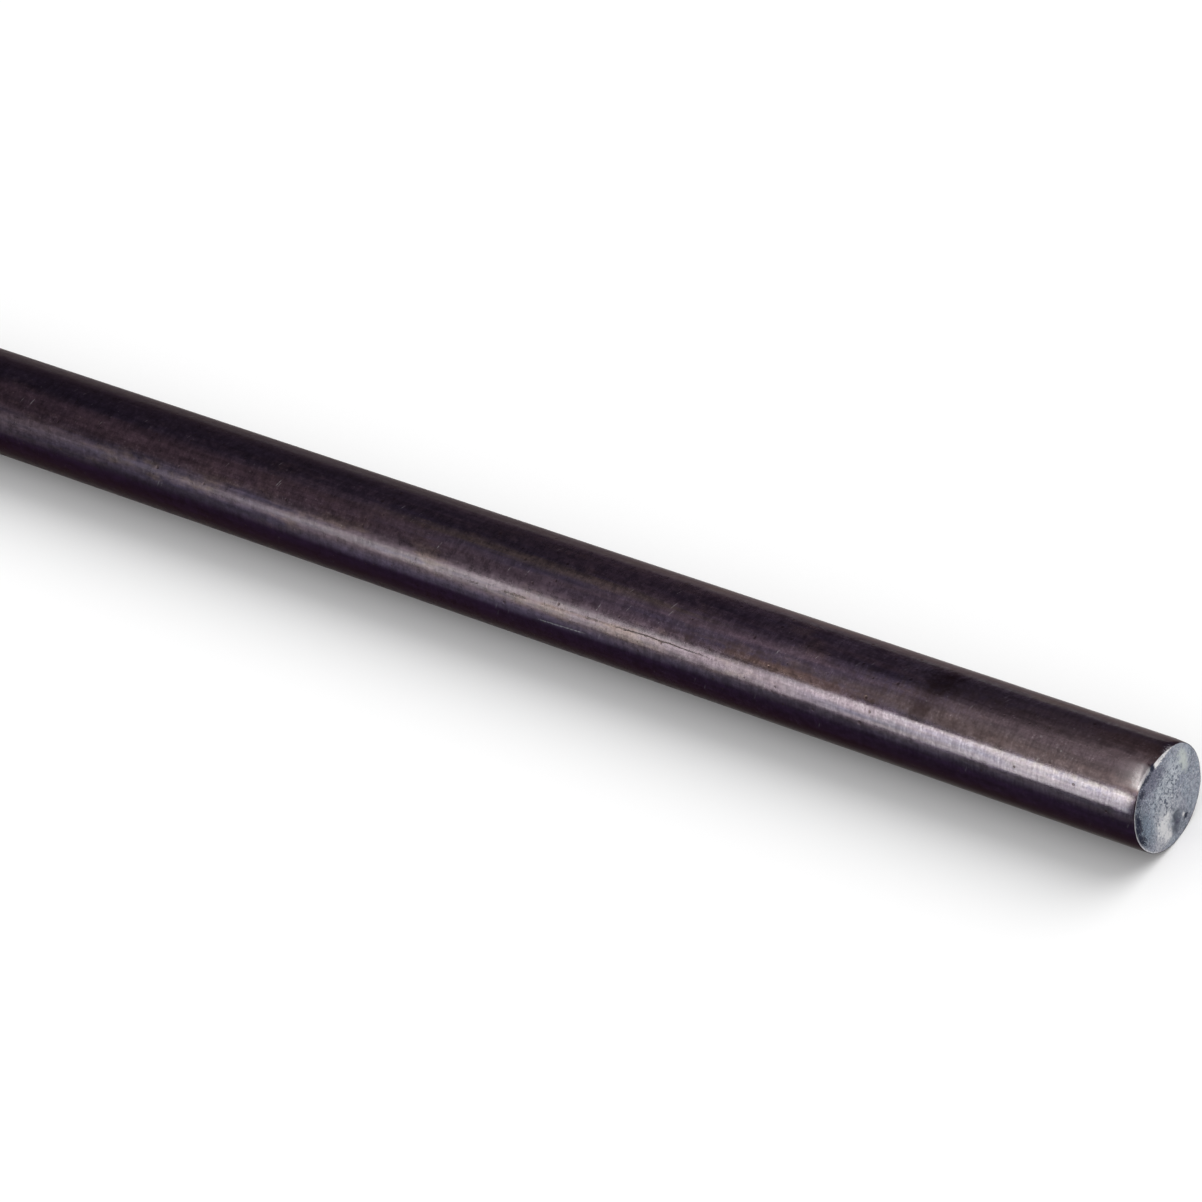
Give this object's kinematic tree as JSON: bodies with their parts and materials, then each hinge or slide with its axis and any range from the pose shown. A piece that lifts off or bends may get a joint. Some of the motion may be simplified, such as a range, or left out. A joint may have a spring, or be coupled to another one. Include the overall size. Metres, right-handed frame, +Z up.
{
  "type": "round metal bar",
  "caption": "Solid round bar of hot-rolled carbon steel with dark mill scale and bare cropped ends, lying along its length.",
  "frame": {"origin": "under the middle of the bar, on the floor it lies on", "axes": "+X along the bar's axis towards the end with the torn hollow, +Z up, -Y the front"},
  "size_m": [0.9144, 0.0126, 0.0127],
  "materials": {
    "mill_scale_steel": "satin"
  },
  "bodies": {
    "root": {"round_bar": "mill_scale_steel"}
  },
  "joints": []
}
